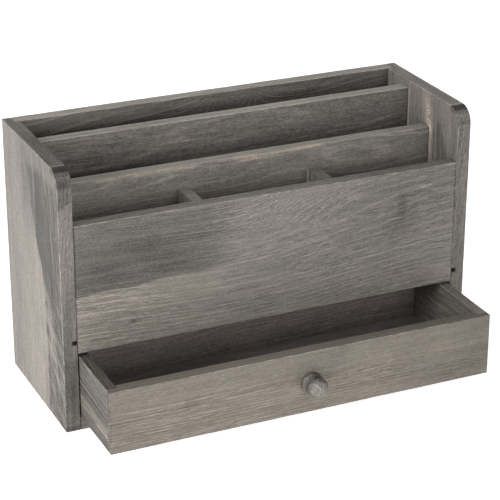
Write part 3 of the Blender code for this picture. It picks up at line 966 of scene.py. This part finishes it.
def make_timbers():
    case, drawer = "case", "drawer"
    return [
        Timber("left_side_panel", case, "side_pine", Z, (0.045, -0.03), (0.02, 0.1), 0.0024, 3,
            vein=0.65, wander=0.35, marks=left_side_marks, corner=CASE_CORNER, fine=0.55),
        Timber("right_side_panel", case, "side_pine", Z, (-0.035, 0.02), (0.01, -0.04), 0.0022, 7,
            tone=-0.02, finish=Finish(bars=1.0), wander=0.35, marks=right_side_marks,
            corner=CASE_CORNER, fine=0.55),
        Timber("back_panel", case, "case_pine", X, (-0.04, 0.055), (0.05, 0.04), 0.0038, 11,
            tone=-0.05, marks=back_panel_marks,
            knots=((0.018, 0.093, 0.008, -0.022), (-0.09, -0.03, 0.008, 0.016))),
        Timber("rear_divider", case, "case_pine", X, (0.03, 0.05), (0.02, 0.03), 0.003, 13,
            tone=-0.085, vein=0.55, wander=0.5, marks=rear_divider_marks, butted=True),
        Timber("middle_divider", case, "case_pine", X, (0.024, 0.046), (0.03, -0.05), 0.003, 17,
            vein=0.6, marks=middle_divider_marks, butted=True, fine=0.65),
        Timber("front_panel", case, "front_pine", X, (0.052, -0.1), (0.02, 0.0), 0.0034, 19,
            tone=-0.01, vein=0.75, finish=Finish(stroke=0.09, grit=0.36), wander=0.8,
            marks=front_panel_marks, bend=front_panel_bend, butted=True, fine=0.65),
        Timber("left_partition", case, "case_pine", Z, (0.02, 0.03), (0.0, 0.05), 0.0025, 23,
            vein=0.5, wander=0.5, marks=partition_marks, butted=True),
        Timber("right_partition", case, "case_pine", Z, (-0.025, 0.018), (0.0, 0.05), 0.0025, 29,
            tone=-0.17, vein=0.5, wander=0.5, marks=partition_marks, butted=True),
        Timber("compartment_floor", case, "plywood", X, (0.01, 0.2), (0.05, 0.02), 0.006, 31,
            tone=-0.14, vein=0.5, butted=True),
        Timber("bottom_board", case, "case_pine", X, (0.02, 0.06), (0.05, 0.05), 0.0045, 37,
            tone=-0.06, knots=((-0.06, 0.01, 0.009, 0.018),), butted=True),
        Timber("drawer_front", drawer, "drawer_front_pine", X, (0.02, 0.04), (0.008, 0.008), 0.0021, 41,
            tone=0.015, finish=Finish(stroke=0.04, grit=0.24, tint=(1.015, 0.975, 0.9)),
            wander=0.3, marks=drawer_front_marks, fine=0.65),
        Timber("drawer_left_side", drawer, "drawer_pine", Y, (0.018, 0.03), (0.05, 0.03), 0.0028, 43,
            tone=0.02, wander=0.5, marks=drawer_left_marks, fine=0.6),
        Timber("drawer_right_side", drawer, "drawer_pine", Y, (-0.022, 0.034), (0.02, 0.01), 0.0024, 47,
            vein=0.65, wander=0.5, marks=drawer_right_marks),
        Timber("drawer_back", drawer, "drawer_pine", X, (0.025, 0.045), (0.02, 0.02), 0.0034, 53,
            tone=-0.045, vein=0.6, finish=Finish(tint=(1.03, 0.97, 1.01)), marks=drawer_back_marks),
        Timber("drawer_bottom", drawer, "plywood", X, (0.015, 0.18), (0.06, 0.02), 0.005, 59,
            tone=0.14, vein=0.6, finish=Finish(tint=(1.02, 0.97, 1.02))),
    ]


def make_board(timber):
    piece = shape_board(timber)
    cut_board(timber, piece)
    points = points_of(piece.data)
    tone, vein, tan = timber.marks_at(points)
    low, high = box_of(timber.node)
    grain = timber.grain
    from_end = np.minimum(points[:, grain] - low[grain], high[grain] - points[:, grain])
    if timber.corner:
        from_front = points[:, Y] - low[Y]
        from_end = np.where(from_front < timber.corner, np.maximum(from_end - 0.004, 0), from_end)
    marks = {"ring": timber.rings(points), "flow": timber.flow(points) * 1000}
    marks.update(tone=tone, vein=vein, tan=tan, arris=timber.arris_distance(points))
    marks["end"] = rise(0.0008, 0.0003, from_end)
    write_marks(piece.data, marks)
    shade(piece.data)
    piece.data.materials.clear()
    wood = stained_pine(f"{timber.node}_wood", grain, timber.seed, timber.finish)
    piece.data.materials.append(wood)
    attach(piece, timber.body)
    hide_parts(timber.node)


# ---- knob

KNOB_SEGMENTS = 96
KNOB_BORE = 0.002
KNOB_EDGE = 0.0012
KNOB_SEED = 61

# Shares of its length, from the foot, and of its radius
BORE_DEPTH = 0.65
FLANGE, WAIST, HEAD = 0.31, 0.43, 0.68
WAIST_RADIUS, HEAD_RADIUS = 0.785, 0.94


def knob_outline(length, radius):
    """(distance from the foot, radius) along the knob: bore, foot, flange, waist and domed head."""
    flange, waist, head = FLANGE * length, WAIST * length, HEAD * length
    waist_radius, head_radius = WAIST_RADIUS * radius, HEAD_RADIUS * radius
    bore_depth, flat = BORE_DEPTH * length, radius - KNOB_EDGE
    outline = [(bore_depth, 0.0)]
    outline += [(bore_depth * (1 - step / 8), KNOB_BORE) for step in range(8)]
    outline += [(0.0, KNOB_BORE + (flat - KNOB_BORE) * step / 6) for step in range(7)]
    for centre, first in ((KNOB_EDGE, -90), (flange - KNOB_EDGE, 0)):
        for step in range(1, 8):
            angle = math.radians(first + 90 * step / 7)
            outline.append((centre + KNOB_EDGE * math.sin(angle), flat + KNOB_EDGE * math.cos(angle)))
    spans = ((flange, flat, waist, waist_radius), (waist, waist_radius, head, head_radius))
    for start, start_radius, end, end_radius in spans:
        for step in range(1, 10):
            ease = (1 - math.cos(math.pi * step / 9)) / 2
            distance = start + (end - start) * step / 9
            outline.append((distance, start_radius + (end_radius - start_radius) * ease))
    for step in range(1, 16):
        angle = math.pi / 2 * step / 16
        outline.append((head + (length - head) * math.sin(angle), head_radius * math.cos(angle) ** 0.8))
    outline.append((length, 0.0))
    return outline


def turned_body(outline):
    """Points and faces of an outline turned round the Y axis."""
    angles = np.linspace(0, 2 * math.pi, KNOB_SEGMENTS, endpoint=False)
    circle = np.stack([np.cos(angles), 0 * angles, np.sin(angles)], axis=1)
    rings = [radius * circle + (0, distance, 0) for distance, radius in outline[1:-1]]
    first_tip, last_tip = ([[0.0, distance, 0.0]] for distance, _ in (outline[0], outline[-1]))
    points = np.concatenate([first_tip, *rings, last_tip])
    last = len(points) - 1
    sides = [(side, (side + 1) % KNOB_SEGMENTS) for side in range(KNOB_SEGMENTS)]
    faces = []
    for row in range(len(rings) - 1):
        ring = 1 + row * KNOB_SEGMENTS
        following = ring + KNOB_SEGMENTS
        faces += [[ring + side, ring + after, following + after, following + side] for side, after in sides]
    for side, after in sides:
        faces.append([0, 1 + after, 1 + side])
        faces.append([last, last - KNOB_SEGMENTS + side, last - KNOB_SEGMENTS + after])
    return points, faces


def knob_marks(points, world, centre, length, radius, outer):
    """Painted shade in its waist's crease and on its right side; paler on its dome."""
    rings = np.hypot(world[:, X] - centre[X] - 0.011, world[:, Y] - centre[Y] - 0.012) / 0.0021
    rings += 0.5 * cloud(world, (0.006, 0.006, 0.02), 73)
    # Painted shade: the crease at the waist and the knob's right side are darkened.
    crease_shade = line_at(points[:, Y], WAIST * length, 0.0016) * outer
    dome = rise(0.7, 0.95, points[:, Y] / length)
    side_shade = rise(0.1, 0.9, (points[:, X] + 0.5 * points[:, Z]) / radius)
    mottle = cloud(world, (0.0032, 0.004, 0.0038), 79)
    tone = -0.15 - 0.14 * crease_shade + 0.21 * dome - 0.13 * side_shade + 0.14 * mottle
    marks = {"ring": rings, "flow": rings * STROKE_GAP_MM, "tone": tone}
    for name, value in (("vein", 0.9), ("tan", 0), ("arris", 10), ("end", 0)):
        marks[name] = np.full(len(world), value)
    return marks


def make_knob():
    low, high = box_of("knob")
    centre = (low + high) / 2
    length, radius = high[Y] - low[Y], (high[X] - low[X]) / 2
    points, faces = turned_body(knob_outline(length, radius))
    world = np.array([centre[X], high[Y], centre[Z]]) + points * np.array([1, -1, 1])
    inward = points * np.array([-1, 0, -1])
    inward /= np.maximum(np.linalg.norm(inward, axis=1), 1e-6)[:, None]
    outer = np.hypot(points[:, X], points[:, Z]) > 1.5 * KNOB_BORE
    turning = 0.5 + 0.5 * np.sin(points[:, Y] / 0.0006)
    dents = 0.5 + 0.5 * cloud(world, (0.004, 0.004, 0.009), 71)
    world += inward * (outer * (0.00003 * turning + 0.00014 * dents))[:, None]
    piece = new_piece("knob_turning", world, faces)
    write_marks(piece.data, knob_marks(points, world, centre, length, radius, outer))
    shade(piece.data, 50)
    piece.data.materials.append(stained_pine("knob_wood", Z, KNOB_SEED, Finish()))
    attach(piece, "drawer")
    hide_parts("knob")


# ---- fastenings


def dress_fastenings():
    """Dowels, brads and the screw keep their CAD shapes and get their own materials."""
    beech = plain_wood("dowel_beech_grain", X, (0.34, 0.22, 0.12), (0.6, 0.44, 0.28))
    steel = worn_metal("brad_steel_tarnish", (0.22, 0.22, 0.23), (0.5, 0.5, 0.5), 0.3, 0.55)
    zinc = worn_metal("screw_zinc_tarnish", (0.42, 0.42, 0.38), (0.66, 0.66, 0.62), 0.25, 0.45)
    for name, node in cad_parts.items():
        for word, material in (("dowel", beech), ("brad", steel), ("screw", zinc)):
            if word in name:
                node.data.materials.clear()
                node.data.materials.append(material)


# ---- stage, lights and camera

FLOOR_HALF = 6.0
FLOOR_GAP = 0.0002
FLOOR_COLOUR = (0.9, 0.9, 0.9, 1.0)
FLOOR_GLOW = 0.7
WHITE = (1.0, 1.0, 1.0, 1.0)
WORLD_LIGHT = 0.3

# Square soft boxes: direction from the case, distance, size and power
LAMPS = {
    "key": ((-0.95, -0.16, 0.3), 2.2, 1.1, 46.0),
    "fill": ((0.1, -0.95, 0.28), 2.6, 1.3, 29.0),
    "top": ((0.0, 0.45, 1.0), 2.2, 1.2, 9.0),
}
LAMP_TARGET = (0, 0, 0.08)

# The camera looks at the middle of the case from the front left, from above
VIEW_AZIMUTH = -24.61
VIEW_ELEVATION = 23.62
VIEW_ROLL = 0.16
VIEW_DISTANCE = 1.44
VIEW_TARGET = (0.008, -0.0034, 0.0915)
LENS_MM = 134.6


def make_floor():
    height = CAD_BOUNDS[0][Z] - FLOOR_GAP
    corners = np.array([(-1, -1, 0), (1, -1, 0), (1, 1, 0), (-1, 1, 0)]) * FLOOR_HALF + (0, 0, height)
    floor = new_piece("floor", corners, [[0, 1, 2, 3]])
    paper = Nodes("floor_paper")
    inputs = {"Base Color": FLOOR_COLOUR, "Roughness": 0.9, "Specular IOR Level": 0.1}
    paper.feed(paper.shader, inputs | {"Emission Color": WHITE, "Emission Strength": FLOOR_GLOW})
    floor.data.materials.append(paper.material)


def add_lamp(name, direction, distance, size, power):
    data = bpy.data.lights.new(name, "AREA")
    data.shape = "SQUARE"
    data.size = size
    data.energy = power
    lamp = new_object(name, data)
    back = Vector(direction).normalized()
    lamp.location = Vector(LAMP_TARGET) + back * distance
    lamp.rotation_euler = (-back).to_track_quat("-Z", "Y").to_euler()


def light_scene():
    world = bpy.data.worlds.new("studio")
    bpy.context.scene.world = world
    world.use_nodes = True
    background = world.node_tree.nodes["Background"]
    background.inputs["Color"].default_value = WHITE
    background.inputs["Strength"].default_value = WORLD_LIGHT
    for name, settings in LAMPS.items():
        add_lamp(name, *settings)
    bpy.context.scene.view_settings.view_transform = "Standard"


def make_camera():
    azimuth, elevation = math.radians(VIEW_AZIMUTH), math.radians(VIEW_ELEVATION)
    ahead = math.cos(elevation)
    back = Vector((math.sin(azimuth) * ahead, -math.cos(azimuth) * ahead, math.sin(elevation)))
    data = bpy.data.cameras.new("camera")
    data.lens = LENS_MM
    camera = new_object("camera", data)
    camera.location = Vector(VIEW_TARGET) + back * VIEW_DISTANCE
    level = (-back).to_track_quat("-Z", "Y").to_matrix().to_4x4()
    roll = Matrix.Rotation(math.radians(VIEW_ROLL), 4, "Z")
    camera.rotation_euler = (level @ roll).to_euler()
    bpy.context.scene.camera = camera


def main():
    make_camera()
    for timber in make_timbers():
        make_board(timber)
    make_knob()
    dress_fastenings()
    make_floor()
    light_scene()


main()
